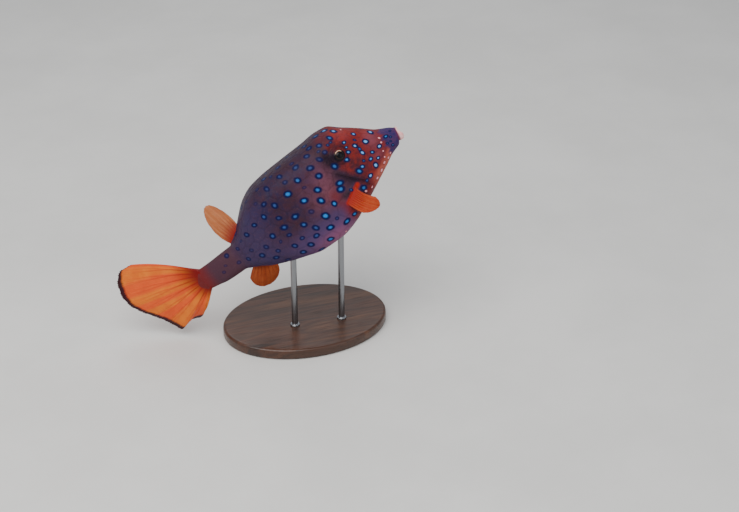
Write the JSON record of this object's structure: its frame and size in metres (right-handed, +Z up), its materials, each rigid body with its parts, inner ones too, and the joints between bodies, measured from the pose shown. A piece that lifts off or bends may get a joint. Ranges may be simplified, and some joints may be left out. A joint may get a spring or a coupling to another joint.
{
  "type": "boxfish model",
  "caption": "Life-size still model of an adult boxfish swimming upwards, held by two steel rods on an oval wooden display base.",
  "frame": {"origin": "centre of the base's underside, on the floor", "axes": "+X towards the fish's head end along the base's long axis, +Y to the fish's left, +Z up"},
  "size_m": [0.277, 0.1205, 0.2058],
  "materials": {
    "body_skin": "satin, purple-brown with blue spots",
    "face_skin": "satin, red-orange with blue spots",
    "snout_skin": "satin, dark purple",
    "lip_flesh": "satin, pale pink",
    "fin_membrane": "satin, orange, slightly see-through",
    "eye_ball": "glossy",
    "base_wood": "oiled",
    "rod_steel": "brushed"
  },
  "bodies": {
    "root": {"head": "face_skin", "snout": "snout_skin", "lip_upper": "lip_flesh", "lip_lower": "lip_flesh", "carapace": "body_skin", "caudal_peduncle": "body_skin", "caudal_fin": "fin_membrane", "dorsal_fin": "fin_membrane", "anal_fin": "fin_membrane", "pectoral_fin_right": "fin_membrane", "pectoral_fin_left": "fin_membrane", "eye_right": "eye_ball", "eye_left": "eye_ball", "stand_base": "base_wood", "stand_rod_front": "rod_steel", "stand_rod_rear": "rod_steel"}
  },
  "joints": []
}
